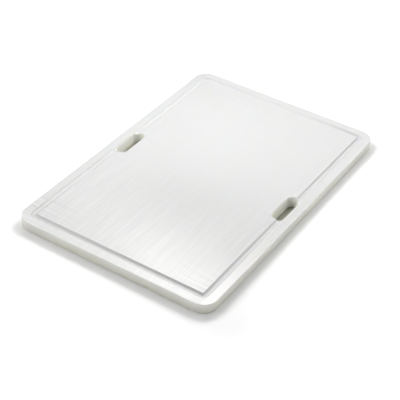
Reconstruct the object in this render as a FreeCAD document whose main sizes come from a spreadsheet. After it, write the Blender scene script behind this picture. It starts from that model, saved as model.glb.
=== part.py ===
"""A professional cutting board: one slab of white polyethylene, shaped on a router.

Millimetres, +Z up. The origin is the centre of the underside. +X runs along the long
side and +Y along the short side. The real board is one piece, so the model is one Body.
"""
import FreeCAD, Part
import math
import os

import Sketcher

V = FreeCAD.Vector
UP = V(0, 0, 1)

DIMENSIONS = {
    "board_length": 600.0,
    "board_width": 400.0,
    "board_thickness": 20.0,
    "corner_radius": 28.0,
    "outer_edge_round": 1.0,
    "rim_width": 16.0,
    "groove_width": 12.0,
    "groove_depth": 3.0,
    "groove_inner_corner": 1.0,
    "slot_length": 75.0,
    "slot_width": 25.0,
    "slot_inset": 30.0,
    "slot_lean": 4.0,
    "cut_edge_round": 0.4,
    "cutter_rise": 2.0,
}
# The groove's centreline is a smaller rounded rectangle, midway between the groove's lips.
GROOVE_LENGTH = "dimensions.board_length - 2 * dimensions.rim_width - dimensions.groove_width"
GROOVE_BREADTH = "dimensions.board_width - 2 * dimensions.rim_width - dimensions.groove_width"
GROOVE_TURN = "dimensions.groove_inner_corner + dimensions.groove_width / 2"
# A circle through both lips and the bottom of the cove.
GROOVE_NOSE = "dimensions.groove_width ^ 2 / (8 * dimensions.groove_depth) + dimensions.groove_depth / 2"
GROOVE_CENTRE = "(dimensions.board_width - dimensions.groove_width) / 2 - dimensions.rim_width"
SLOT_REACH = "(dimensions.slot_length - dimensions.slot_width) / 2"
SLOT_CENTRE = "dimensions.board_width / 2 - dimensions.slot_inset"
# A negative taper narrows the slot as it goes down.
SLOT_TAPER = "-atan(dimensions.slot_lean / dimensions.board_thickness)"

SAME_PLACE = 1e-4
VOLUME_TOLERANCE = 1.0


def make_sheet(doc):
    """Keep every driving dimension in a spreadsheet cell with an alias."""
    sheet = doc.addObject("Spreadsheet::Sheet", "dimensions")
    for row, (alias, value) in enumerate(DIMENSIONS.items(), start=1):
        sheet.set(f"A{row}", alias)
        sheet.set(f"B{row}", str(value))
        sheet.setAlias(f"B{row}", alias)
    doc.recompute()
    return sheet


def new_sketch(body, name, role, height=None):
    """Add a sketch on one of the body's own planes, raised by an expression if one is given."""
    sketch = body.newObject("Sketcher::SketchObject", name)
    sketch.AttachmentSupport = [(origin_plane(body, role), "")]
    sketch.MapMode = "FlatFace"
    if height:
        sketch.setExpression("AttachmentOffset.Base.z", height)
    return sketch


def origin_plane(body, role):
    """Find one of the body's origin planes."""
    return next(plane for plane in body.Origin.OriginFeatures if plane.Role == role)


def fix(sketch, *constraint):
    """Add a geometric constraint."""
    sketch.addConstraint(Sketcher.Constraint(*constraint))


def drive(sketch, name, expression, *constraint):
    """Add a dimensional constraint, name it and bind it to an expression."""
    index = sketch.addConstraint(Sketcher.Constraint(*constraint))
    sketch.renameConstraint(index, name)
    sketch.setExpression(f"Constraints.{name}", expression)


def add_arc(sketch, middle, radius, start, end):
    """Draw an arc of a circle, anticlockwise between two angles in degrees."""
    circle = Part.Circle(middle, UP, radius)
    return sketch.addGeometry(Part.ArcOfCircle(circle, math.radians(start), math.radians(end)))


def add_line(sketch, start, end):
    """Draw a straight line."""
    return sketch.addGeometry(Part.LineSegment(start, end))


def draw_rounded_rectangle(sketch, length, width, radius):
    """Draw a rounded rectangle about the origin; each size is a first estimate and an expression."""
    across = length[0] / 2 - radius[0]
    along = width[0] / 2 - radius[0]
    corners = [V(across, -along), V(across, along), V(-across, along), V(-across, -along)]
    arcs = []
    for turn, middle in enumerate(corners):
        arcs.append(add_arc(sketch, middle, radius[0], 90 * turn - 90, 90 * turn))
    sides = []
    for turn in range(4):
        sides.append(add_line(sketch, sketch.getPoint(arcs[turn - 1], 2), sketch.getPoint(arcs[turn], 1)))
    for turn in range(4):
        fix(sketch, "Tangent", sides[turn], 2, arcs[turn], 1)
        fix(sketch, "Tangent", arcs[turn - 1], 2, sides[turn], 1)
        fix(sketch, "Vertical" if turn % 2 else "Horizontal", sides[turn])
    for corner in arcs[1:]:
        fix(sketch, "Equal", arcs[0], corner)
    fix(sketch, "Symmetric", arcs[0], 3, arcs[2], 3, -1, 1)
    drive(sketch, "length", length[1], "DistanceX", sides[3], 1, sides[1], 1, length[0])
    drive(sketch, "width", width[1], "DistanceY", sides[0], 1, sides[2], 1, width[0])
    drive(sketch, "radius", radius[1], "Radius", arcs[0], radius[0])


def draw_cove(sketch, size):
    """Draw the groove's cross-section: a round-nosed cove, carried on up past the top face."""
    centre = size["rim_width"] + size["groove_width"] / 2 - size["board_width"] / 2
    half = V(size["groove_width"] / 2, 0)
    lip = V(centre, size["board_thickness"])
    rise = V(0, size["cutter_rise"])
    bottom = lip - V(0, size["groove_depth"])
    cove = sketch.addGeometry(Part.Arc(lip - half, bottom, lip + half))
    right = add_line(sketch, lip + half, lip + half + rise)
    roof = add_line(sketch, lip + half + rise, lip - half + rise)
    left = add_line(sketch, lip - half + rise, lip - half)
    fix(sketch, "Coincident", cove, 2, right, 1)
    fix(sketch, "Coincident", right, 2, roof, 1)
    fix(sketch, "Coincident", roof, 2, left, 1)
    fix(sketch, "Coincident", left, 2, cove, 1)
    fix(sketch, "Vertical", right)
    fix(sketch, "Vertical", left)
    fix(sketch, "Horizontal", roof)
    nose = size["groove_width"] ** 2 / (8 * size["groove_depth"]) + size["groove_depth"] / 2
    drive(sketch, "width", "dimensions.groove_width", "DistanceX", cove, 1, cove, 2, size["groove_width"])
    drive(sketch, "nose", GROOVE_NOSE, "Radius", cove, nose)
    drive(sketch, "centre", GROOVE_CENTRE, "DistanceX", cove, 3, -1, 1, -centre)
    drive(sketch, "lip", "dimensions.board_thickness", "DistanceY", -1, 1, cove, 1, lip.y)
    drive(sketch, "rise", "dimensions.cutter_rise", "DistanceY", right, 1, right, 2, rise.y)


def draw_slot(sketch, size):
    """Draw the top of the hand slot on the +Y side: two half circles joined by straight sides."""
    radius = size["slot_width"] / 2
    reach = size["slot_length"] / 2 - radius
    inset = size["board_width"] / 2 - size["slot_inset"]
    right = add_arc(sketch, V(reach, inset), radius, -90, 90)
    left = add_arc(sketch, V(-reach, inset), radius, 90, 270)
    outer = add_line(sketch, sketch.getPoint(right, 2), sketch.getPoint(left, 1))
    inner = add_line(sketch, sketch.getPoint(left, 2), sketch.getPoint(right, 1))
    fix(sketch, "Tangent", right, 2, outer, 1)
    fix(sketch, "Tangent", outer, 2, left, 1)
    fix(sketch, "Tangent", left, 2, inner, 1)
    fix(sketch, "Tangent", inner, 2, right, 1)
    fix(sketch, "Horizontal", outer)
    fix(sketch, "Horizontal", inner)
    drive(sketch, "radius", "dimensions.slot_width / 2", "Radius", right, radius)
    drive(sketch, "reach_right", SLOT_REACH, "DistanceX", -1, 1, right, 3, reach)
    drive(sketch, "reach_left", SLOT_REACH, "DistanceX", left, 3, -1, 1, reach)
    drive(sketch, "inset", SLOT_CENTRE, "DistanceY", -1, 1, right, 3, inset)


def add_slab(body, size):
    """The sheet itself, cut to a rounded rectangle."""
    outline = new_sketch(body, "board_outline", "XY_Plane")
    draw_rounded_rectangle(
        outline,
        (size["board_length"], "dimensions.board_length"),
        (size["board_width"], "dimensions.board_width"),
        (size["corner_radius"], "dimensions.corner_radius"),
    )
    slab = body.newObject("PartDesign::Pad", "slab")
    slab.Profile = outline
    slab.setExpression("Length", "dimensions.board_thickness")
    return slab


def add_juice_groove(body, size):
    """The cove that runs all the way round, just inside the rim."""
    edge_to_edge = 2 * size["rim_width"] + size["groove_width"]
    path = new_sketch(body, "groove_path", "XY_Plane", "dimensions.board_thickness")
    draw_rounded_rectangle(
        path,
        (size["board_length"] - edge_to_edge, GROOVE_LENGTH),
        (size["board_width"] - edge_to_edge, GROOVE_BREADTH),
        (size["groove_inner_corner"] + size["groove_width"] / 2, GROOVE_TURN),
    )
    section = new_sketch(body, "groove_section", "YZ_Plane")
    draw_cove(section, size)
    groove = body.newObject("PartDesign::SubtractivePipe", "juice_groove")
    groove.Profile = section
    groove.Spine = (path, [])
    return groove


def add_hand_slots(body, doc, size):
    """A slot through the middle of each long side, its walls leaning in towards the underside."""
    outline = new_sketch(body, "slot_outline", "XY_Plane", "dimensions.board_thickness")
    draw_slot(outline, size)
    slot = body.newObject("PartDesign::Pocket", "hand_slot")
    slot.Profile = outline
    slot.Type = "Length"
    slot.setExpression("Length", "dimensions.board_thickness")
    slot.setExpression("TaperAngle", SLOT_TAPER)
    doc.recompute()
    both = body.newObject("PartDesign::Mirrored", "hand_slots")
    both.Originals = [slot]
    both.MirrorPlane = (origin_plane(body, "XZ_Plane"), [""])
    body.Tip = both
    return both


def edges_where(shape, wanted):
    """Name the edges whose bounding box passes a test."""
    return [f"Edge{n}" for n, edge in enumerate(shape.Edges, start=1) if wanted(edge.BoundBox)]


def reach(low, high):
    """How far a span gets from zero."""
    return max(abs(low), abs(high))


def on_outline(box, size):
    """An edge round the outside of the top face or of the underside."""
    flat = box.ZLength < SAME_PLACE
    beyond_x = reach(box.XMin, box.XMax) > size["board_length"] / 2 - SAME_PLACE
    beyond_y = reach(box.YMin, box.YMax) > size["board_width"] / 2 - SAME_PLACE
    return flat and (beyond_x or beyond_y)


def on_cut(box, size):
    """A lip of the groove, or the top or bottom edge of a hand slot."""
    top = size["board_thickness"]
    within_x = reach(box.XMin, box.XMax) < size["board_length"] / 2 - size["rim_width"] + SAME_PLACE
    within_y = reach(box.YMin, box.YMax) < size["board_width"] / 2 - size["rim_width"] + SAME_PLACE
    at_slot = reach(box.XMin, box.XMax) < size["slot_length"] / 2 + SAME_PLACE
    in_top_face = box.ZMin > top - SAME_PLACE
    in_groove = at_slot and box.ZMin > top - size["groove_depth"] - SAME_PLACE
    in_underside = at_slot and box.ZMax < SAME_PLACE
    return within_x and within_y and (in_top_face or in_groove or in_underside)


def add_rounding(body, doc, name, base, test, radius):
    """Round every edge of the base feature that passes the test."""
    doc.recompute()
    rounding = body.newObject("PartDesign::Fillet", name)
    rounding.Base = (base, edges_where(base.Shape, lambda box: test(box, DIMENSIONS)))
    rounding.setExpression("Radius", radius)
    body.Tip = rounding
    return rounding


def build_board(doc):
    """Make the whole board as one body."""
    body = doc.addObject("PartDesign::Body", "board")
    body.Label = "board"
    slab = add_slab(body, DIMENSIONS)
    groove = add_juice_groove(body, DIMENSIONS)
    slots = add_hand_slots(body, doc, DIMENSIONS)
    eased = add_rounding(body, doc, "outer_edges", slots, on_outline, "dimensions.outer_edge_round")
    deburred = add_rounding(body, doc, "cut_edges", eased, on_cut, "dimensions.cut_edge_round")
    body.Placement = FreeCAD.Placement(V(0, 0, 0), FreeCAD.Rotation())
    doc.recompute()
    check_cuts(slab, groove, slots, deburred)
    return body


def check_cuts(slab, groove, slots, finished):
    """Compare the material that each cut takes away with its size worked out by hand."""
    width, depth = DIMENSIONS["groove_width"], DIMENSIONS["groove_depth"]
    nose = width**2 / (8 * depth) + depth / 2
    half_angle = math.asin(width / 2 / nose)
    cove_area = nose**2 * (half_angle - math.sin(2 * half_angle) / 2)
    path = groove.Spine[0].Shape.Length
    groove_cut = slab.Shape.Volume - groove.Shape.Volume
    if abs(groove_cut - cove_area * path) > VOLUME_TOLERANCE:
        raise RuntimeError(f"the groove takes away {groove_cut:.1f}, not {cove_area * path:.1f}")
    slot_cut = groove.Shape.Volume - slots.Shape.Volume
    if slot_cut <= 0 or slots.Shape.Volume <= finished.Shape.Volume:
        raise RuntimeError("a slot or an edge takes nothing away")
    print(f"groove {groove_cut:.0f} mm3, slots {slot_cut:.0f} mm3")


def check_document(doc):
    """Stop if any object failed to compute."""
    for item in doc.Objects:
        if "Invalid" in item.State or "Error" in item.State:
            raise RuntimeError(f"{item.Name} is in state {item.State}")


def write_part(body):
    """Check the finished solid and write it to its own file."""
    shape = body.Shape
    if shape.isNull() or not shape.isValid() or len(shape.Solids) != 1:
        raise RuntimeError(f"{body.Label} is not one valid solid")
    os.makedirs("parts", exist_ok=True)
    shape.exportStep(os.path.join("parts", f"{body.Label}.step"))
    box = shape.optimalBoundingBox()
    print(f"{body.Label}: {box.XLength:.2f} x {box.YLength:.2f} x {box.ZLength:.2f} mm")
    print(f"volume {shape.Volume / 1000:.1f} cm3")


def main():
    """Build the document, check it and write the node."""
    doc = FreeCAD.newDocument("cutting_board")
    make_sheet(doc)
    board = build_board(doc)
    check_document(doc)
    write_part(board)


main()
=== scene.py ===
"""A white polyethylene cutting board, finished and lit as a product on a pale floor."""
import math

import bpy
from mathutils import Matrix, Vector


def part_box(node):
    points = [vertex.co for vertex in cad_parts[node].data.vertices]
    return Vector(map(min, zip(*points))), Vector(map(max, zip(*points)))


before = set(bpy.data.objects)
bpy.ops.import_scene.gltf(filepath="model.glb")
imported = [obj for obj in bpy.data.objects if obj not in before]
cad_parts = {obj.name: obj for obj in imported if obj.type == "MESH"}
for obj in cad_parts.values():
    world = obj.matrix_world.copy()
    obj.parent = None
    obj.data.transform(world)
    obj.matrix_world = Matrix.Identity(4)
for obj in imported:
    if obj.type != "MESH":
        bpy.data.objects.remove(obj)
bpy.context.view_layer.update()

MM = 0.001
NODE = "board"
low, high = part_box(NODE)
THICKNESS = high.z - low.z
HALF_LENGTH = high.x
HALF_WIDTH = high.y
TOP_MIDDLE = Vector((0, 0, THICKNESS))

# The camera stands off the corner where the left end and the near long side meet.
CAMERA_PLACE = Vector((-1.4540, -0.8733, 1.2836))
CAMERA_AZIMUTH = math.radians(-58.767)
CAMERA_ELEVATION = math.radians(37.996)
CAMERA_ROLL = math.radians(3.114)
SENSOR_MM = 36.0
LENS_MM = 103.56

FLOOR_REACH = 4.0
FLOOR_GAP = 0.1 * MM
FLOOR_ROUGHNESS = 0.9
CARD_GAP = 0.05 * MM
WORLD_STRENGTH = 0.05
WIDE_LAMP_DISTANCE = 2.5
LOW_LAMP_ELEVATION = 8
STRIP_WIDTH = 0.1
STRIP_SPREAD = math.radians(90)

FLOOR_WHITE = (0.99, 0.99, 0.99)
# Painted shade: a dark olive card under each hand slot stands for the shaded floor seen through it.
PAINTED_SHADE_OLIVE = (0.32, 0.32, 0.27)

# Sheet polyethylene is a neutral white on its planed faces and creamier where it is cut.
FACE_WHITE = (0.678, 0.679, 0.680)
FACE_WARM = (0.682, 0.679, 0.655)
# Painted highlight: the near rims are painted whiter than the faces.
RIM_PAINTED_HIGHLIGHT = (0.77, 0.77, 0.76)
MARK_GREY = (0.590, 0.591, 0.588)
CUT_CREAM_HIGH = (0.665, 0.664, 0.627)
# Painted shade: the cut edges are painted darker and creamier towards the bottom.
CUT_CREAM_PAINTED_SHADE_LOW = (0.615, 0.612, 0.54)
# Painted light: the slot walls are painted paler than the outer edges, and darker low down as painted
# shade.
SLOT_PAINTED_LIGHT_HIGH = (0.88, 0.88, 0.85)
SLOT_PAINTED_LIGHT_LOW = (0.76, 0.76, 0.69)

FACE_ROUGHNESS = 0.30
GROOVE_ROUGHNESS = 0.28
CUT_ROUGHNESS = 0.5
FACE_ANISOTROPY = 0.8
RELIEF_STRENGTH = 0.6
RELIEF_DEPTH = 0.12 * MM
SCATTER_DEPTH = 4.0 * MM
SCATTER_BY_COLOUR = (1.0, 0.95, 0.8)
PLASTIC_IOR = 1.5


def add_camera():
    """Aim the camera by its azimuth, elevation and roll."""
    right = Vector((math.cos(CAMERA_AZIMUTH), math.sin(CAMERA_AZIMUTH), 0))
    back = Vector((
        math.sin(CAMERA_AZIMUTH) * math.cos(CAMERA_ELEVATION),
        -math.cos(CAMERA_AZIMUTH) * math.cos(CAMERA_ELEVATION),
        math.sin(CAMERA_ELEVATION),
    ))
    up = back.cross(right)
    level = Matrix((right, up, back)).transposed()
    turn = Matrix.Rotation(CAMERA_ROLL, 3, "Z")
    data = bpy.data.cameras.new("camera")
    data.sensor_width = SENSOR_MM
    data.lens = LENS_MM
    camera = bpy.data.objects.new("camera", data)
    camera.matrix_world = Matrix.Translation(CAMERA_PLACE) @ (level @ turn).to_4x4()
    bpy.context.scene.collection.objects.link(camera)
    bpy.context.scene.camera = camera


def add_sheet(name, half_length, half_width, place, colour):
    """Lay a plain dull sheet flat, facing up."""
    mesh = bpy.data.meshes.new(name)
    signs = ((-1, -1), (1, -1), (1, 1), (-1, 1))
    corners = [(along * half_length, across * half_width, 0) for along, across in signs]
    mesh.from_pydata(corners, [], [(0, 1, 2, 3)])
    sheet = bpy.data.objects.new(name, mesh)
    sheet.location = place
    bpy.context.scene.collection.objects.link(sheet)
    material = bpy.data.materials.new(name)
    material.use_nodes = True
    shader = material.node_tree.nodes["Principled BSDF"]
    shader.inputs["Base Color"].default_value = (*colour, 1)
    shader.inputs["Roughness"].default_value = FLOOR_ROUGHNESS
    shader.inputs["Specular IOR Level"].default_value = 0.0
    mesh.materials.append(material)


def add_floor():
    """A plain white floor just under the board, with a dark olive card beneath each hand slot as painted
    shade for the floor seen through it.
    """
    add_sheet("floor", FLOOR_REACH, FLOOR_REACH, (0, 0, low.z - FLOOR_GAP), FLOOR_WHITE)
    for name, side in (("front_painted_shade_card", -1), ("back_painted_shade_card", 1)):
        place = (0, side * 0.85 * HALF_WIDTH, low.z - CARD_GAP)
        add_sheet(name, 0.15 * HALF_LENGTH, 0.1 * HALF_WIDTH, place, PAINTED_SHADE_OLIVE)


def add_world():
    """Faint, even white light from all round."""
    world = bpy.data.worlds.new("studio")
    world.use_nodes = True
    background = world.node_tree.nodes["Background"]
    background.inputs["Color"].default_value = (1, 1, 1, 1)
    background.inputs["Strength"].default_value = WORLD_STRENGTH
    bpy.context.scene.world = world


def around(azimuth, elevation):
    """A wide lamp's place, by its azimuth and elevation in degrees from the middle of the board."""
    flat = math.cos(math.radians(elevation))
    toward = Vector((
        flat * math.cos(math.radians(azimuth)),
        flat * math.sin(math.radians(azimuth)),
        math.sin(math.radians(elevation)),
    ))
    return TOP_MIDDLE + toward * WIDE_LAMP_DISTANCE


def add_lamp(name, place, size, power):
    """Hang a square lamp that faces the middle of the board."""
    data = bpy.data.lights.new(name, "AREA")
    data.size = size
    data.energy = power
    lamp = bpy.data.objects.new(name, data)
    lamp.location = place
    lamp.rotation_euler = (place - TOP_MIDDLE).to_track_quat("Z", "Y").to_euler()
    lamp.visible_camera = False
    bpy.context.scene.collection.objects.link(lamp)
    return lamp


def add_strip(name, place, length, turn, power):
    """Hang a long narrow lamp that faces straight down and hardly reaches the board."""
    strip = add_lamp(name, place, length, power)
    strip.rotation_euler = (0, 0, math.radians(turn))
    strip.data.shape = "RECTANGLE"
    strip.data.size_y = STRIP_WIDTH
    strip.data.spread = STRIP_SPREAD


def add_lamps():
    """Small key lamps close above the board, wide and low ones round it, and strips over the floor."""
    add_lamp("key", Vector((0.15, 0.125, 0.5)), 0.2, 1.22)
    add_lamp("front_key", Vector((0.17, 0.01, 0.42)), 0.2, 0.21)
    for name, azimuth, elevation, size, power in (
        ("right", 0, 42, 1.0, 18),
        ("corner", 45, 50, 0.8, 12.5),
        ("back", 90, 46, 0.7, 13.5),
        ("back_left", 135, 40, 1.2, 16.5),
        ("high_front", 315, 40, 1.2, 13),
    ):
        add_lamp(name, around(azimuth, elevation), size, power)
    # The low lamps light the near edges, and would glare on the top if they were reflected there.
    for name, azimuth, power in (("left", 180, 11), ("front", 270, 14.5)):
        lamp = add_lamp(name, around(azimuth, LOW_LAMP_ELEVATION), 0.6, power)
        lamp.visible_glossy = False
    # The strips make the floor in front of the board pure white.
    add_strip("front_strip", Vector((-0.1, -0.55, 0.3)), 1.2, 0, 4)
    add_strip("left_strip", Vector((-0.62, -0.1, 0.3)), 1.0, 90, 4)


class Nodes:
    """The nodes of one material, with short ways to add and join them."""

    def __init__(self, name):
        self.material = bpy.data.materials.new(name)
        self.material.use_nodes = True
        self.tree = self.material.node_tree
        self.shader = self.tree.nodes["Principled BSDF"]
        self.place = self.add("ShaderNodeTexCoord").outputs["Object"]
        self.x, self.y, self.z = self.split(self.place)

    def add(self, kind, **settings):
        node = self.tree.nodes.new(kind)
        for name, value in settings.items():
            setattr(node, name, value)
        return node

    def join(self, source, target):
        self.tree.links.new(source, target)

    def feed(self, socket, value):
        """Give a socket a link or a constant."""
        if isinstance(value, bpy.types.NodeSocket):
            self.join(value, socket)
        else:
            socket.default_value = value

    def split(self, vector):
        """The X, Y and Z of a vector."""
        node = self.add("ShaderNodeSeparateXYZ")
        self.join(vector, node.inputs["Vector"])
        return node.outputs["X"], node.outputs["Y"], node.outputs["Z"]

    def maths(self, operation, first, second=0.0):
        node = self.add("ShaderNodeMath", operation=operation)
        self.feed(node.inputs[0], first)
        self.feed(node.inputs[1], second)
        return node.outputs[0]

    def plus(self, first, second):
        return self.maths("ADD", first, second)

    def minus(self, first, second):
        return self.maths("SUBTRACT", first, second)

    def times(self, first, second):
        return self.maths("MULTIPLY", first, second)

    def size(self, value):
        """A value without its sign."""
        return self.maths("ABSOLUTE", value)

    def ramp(self, value, start, end, low_value=0.0, high_value=1.0):
        """Turn a value smoothly into another as it goes from start to end."""
        node = self.add("ShaderNodeMapRange", interpolation_type="SMOOTHSTEP")
        self.feed(node.inputs["Value"], value)
        node.inputs["From Min"].default_value = start
        node.inputs["From Max"].default_value = end
        node.inputs["To Min"].default_value = low_value
        node.inputs["To Max"].default_value = high_value
        return node.outputs["Result"]

    def mix(self, factor, first, second):
        """Mix two colours."""
        node = self.add("ShaderNodeMix", data_type="RGBA")
        self.feed(node.inputs["Factor"], factor)
        for socket, value in ((node.inputs[6], first), (node.inputs[7], second)):
            self.feed(socket, value if isinstance(value, bpy.types.NodeSocket) else (*value, 1))
        return node.outputs[2]

    def blend(self, factor, first, second):
        """Mix two plain numbers."""
        node = self.add("ShaderNodeMix", data_type="FLOAT")
        self.feed(node.inputs["Factor"], factor)
        self.feed(node.inputs[2], first)
        self.feed(node.inputs[3], second)
        return node.outputs[0]

    def mapped(self, scale, location):
        """The place on the board, scaled and then shifted."""
        mapping = self.add("ShaderNodeMapping")
        self.join(self.place, mapping.inputs["Vector"])
        mapping.inputs["Scale"].default_value = scale
        mapping.inputs["Location"].default_value = location
        return mapping.outputs["Vector"]

    def noise(self, per_metre, detail, shift):
        """Noise about 0.5, with its own number of grains to the metre along each axis."""
        node = self.add("ShaderNodeTexNoise", noise_dimensions="3D")
        self.join(self.mapped(per_metre, (shift, shift, shift)), node.inputs["Vector"])
        node.inputs["Scale"].default_value = 1.0
        node.inputs["Detail"].default_value = detail
        return node.outputs["Fac"]


def planing_marks(nodes, depth):
    """Uneven marks along the sheet, from coarse to fine, as a height about zero."""
    marks = 0.0
    for per_metre, shift, share in (
        ((2, 45, 5), 3.0, 0.25),
        ((6, 150, 5), 7.0, 0.35),
        ((12, 360, 5), 11.0, 1.0),
    ):
        layer = nodes.minus(nodes.noise(per_metre, 2, shift), 0.5)
        marks = nodes.plus(marks, nodes.times(layer, share))
    return nodes.times(marks, depth)


def chatter_marks(nodes):
    """Short marks across the sheet, in the left corners and in scattered fainter patches."""
    lines = nodes.minus(nodes.noise((280, 8, 5), 1, 17.0), 0.5)
    side = nodes.ramp(nodes.size(nodes.y), 0.45 * HALF_WIDTH, 0.7 * HALF_WIDTH)
    end = nodes.ramp(nodes.x, -0.68 * HALF_LENGTH, -0.76 * HALF_LENGTH, 0.0, 1.6)
    patch = nodes.ramp(nodes.noise((6, 9, 5), 1, 23.0), 0.54, 0.66, 0.0, 0.25)
    return nodes.times(lines, nodes.plus(nodes.times(side, end), patch))


def painted_shade_patch(nodes):
    """A wide oval, left of the middle, painted darker as painted shade between brighter reflections."""
    oval = nodes.add("ShaderNodeTexGradient", gradient_type="SPHERICAL")
    stretch = (2.2 / HALF_LENGTH, 1.2 / HALF_WIDTH, 0)
    nodes.join(nodes.mapped(stretch, (0.8, 0, 0)), oval.inputs["Vector"])
    return nodes.ramp(oval.outputs["Fac"], 0.0, 0.9)


def near_rims_painted_highlight(nodes):
    """How much a painted highlight whitens the rims: the near long one towards the left end, and a little
    the left one.
    """
    near = nodes.ramp(nodes.y, -0.89 * HALF_WIDTH, -0.94 * HALF_WIDTH)
    towards_left = nodes.ramp(nodes.x, 0, -0.95 * HALF_LENGTH)
    left = nodes.ramp(nodes.x, -0.93 * HALF_LENGTH, -0.955 * HALF_LENGTH, 0.0, 0.25)
    return nodes.maths("MAXIMUM", nodes.times(near, towards_left), left)


def face_colour(nodes, left, marks):
    """White planed faces, greyer in their marks, warmer in patches towards the left end, painted darker
    in an oval as painted shade, and with painted highlights on the near rims.
    """
    warmth = nodes.times(left, nodes.noise((4, 9, 5), 2, 29.0))
    white = nodes.mix(warmth, FACE_WHITE, FACE_WARM)
    # Painted shade: an oval left of the middle darkens the faces.
    tone = nodes.minus(marks, nodes.times(painted_shade_patch(nodes), 0.12))
    face = nodes.mix(nodes.ramp(tone, -0.3, 0.3), MARK_GREY, white)
    # Painted highlight: the near rims are whitened.
    return nodes.mix(near_rims_painted_highlight(nodes), face, RIM_PAINTED_HIGHLIGHT)


def slot_walls_painted_light(nodes):
    """1 on the walls of the hand slots, which are painted paler as painted light, and 0 on the outer
    edges.
    """
    within = nodes.ramp(nodes.size(nodes.x), 0.3 * HALF_LENGTH, 0.2 * HALF_LENGTH)
    inside = nodes.ramp(nodes.size(nodes.y), 0.97 * HALF_WIDTH, 0.94 * HALF_WIDTH)
    return nodes.times(within, inside)


def cut_colour_with_painted_light_and_shade(nodes):
    """Cream on the cut edges, partly their own tone and partly painted light coming through the plastic;
    painted darker and creamier low down as painted shade, and painted paler on the slot walls as painted
    light.
    """
    height = nodes.ramp(nodes.z, 0.1 * THICKNESS, 0.9 * THICKNESS)
    # Painted shade: the cut-edge cream gets darker towards the bottom.
    edge = nodes.mix(height, CUT_CREAM_PAINTED_SHADE_LOW, CUT_CREAM_HIGH)
    # Painted light: the slot walls are paler, and darker towards the bottom as painted shade.
    slot = nodes.mix(height, SLOT_PAINTED_LIGHT_LOW, SLOT_PAINTED_LIGHT_HIGH)
    return nodes.mix(slot_walls_painted_light(nodes), edge, slot)


def set_gloss(nodes, cut, planed, planing):
    """Smooth planed faces, which spread a reflection across the sheet, and duller cut edges."""
    rough = nodes.blend(cut, GROOVE_ROUGHNESS, CUT_ROUGHNESS)
    polish = nodes.minus(FACE_ROUGHNESS, nodes.times(planing, 0.1))
    nodes.join(nodes.blend(planed, rough, polish), nodes.shader.inputs["Roughness"])
    tangent = nodes.add("ShaderNodeCombineXYZ")
    nodes.join(nodes.times(planing, 0.1), tangent.inputs["X"])
    tangent.inputs["Y"].default_value = 1.0
    nodes.join(tangent.outputs["Vector"], nodes.shader.inputs["Tangent"])
    nodes.join(nodes.times(planed, FACE_ANISOTROPY), nodes.shader.inputs["Anisotropic"])


def set_relief(nodes, cut, planing):
    """The planing marks, the cutter's fine upright lines on the edges, and a slight grain all over."""
    cutter = nodes.times(nodes.noise((900, 900, 15), 1, 41.0), cut)
    grain = nodes.noise((700, 700, 700), 2, 31.0)
    relief = nodes.plus(nodes.times(planing, 0.7), nodes.times(grain, 0.1))
    relief = nodes.plus(relief, nodes.times(cutter, 0.3))
    bump = nodes.add("ShaderNodeBump")
    bump.inputs["Strength"].default_value = RELIEF_STRENGTH
    bump.inputs["Distance"].default_value = RELIEF_DEPTH
    nodes.join(relief, bump.inputs["Height"])
    nodes.join(bump.outputs["Normal"], nodes.shader.inputs["Normal"])


def polyethylene():
    """White sheet: planed along its length, routed on its edges, and slightly translucent."""
    nodes = Nodes("polyethylene_finish")
    normal_z = nodes.split(nodes.add("ShaderNodeNewGeometry").outputs["Normal"])[2]
    cut = nodes.ramp(nodes.size(normal_z), 0.75, 0.35)
    below_top = nodes.minus(THICKNESS, nodes.z)
    planed = nodes.ramp(nodes.maths("MINIMUM", nodes.z, below_top), 0.4 * MM, 0.05 * MM)

    # The planed faces are marked most towards the left end.
    left = nodes.ramp(nodes.x, 0.1 * HALF_LENGTH, -0.8 * HALF_LENGTH)
    depth = nodes.plus(nodes.times(left, 0.75), 0.15)
    planing = nodes.times(planing_marks(nodes, depth), planed)
    chatter = nodes.times(chatter_marks(nodes), planed)
    face = face_colour(nodes, left, nodes.plus(planing, chatter))
    nodes.join(nodes.mix(cut, face, cut_colour_with_painted_light_and_shade(nodes)), nodes.shader.inputs["Base Color"])
    set_gloss(nodes, cut, planed, planing)
    set_relief(nodes, cut, planing)

    nodes.shader.inputs["Subsurface Weight"].default_value = 1.0
    nodes.shader.inputs["Subsurface Radius"].default_value = SCATTER_BY_COLOUR
    nodes.shader.inputs["Subsurface Scale"].default_value = SCATTER_DEPTH
    nodes.shader.inputs["IOR"].default_value = PLASTIC_IOR
    return nodes.material


add_camera()
add_floor()
add_world()
add_lamps()
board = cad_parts[NODE]
board.data.materials.clear()
board.data.materials.append(polyethylene())
bpy.context.scene.view_settings.view_transform = "Standard"
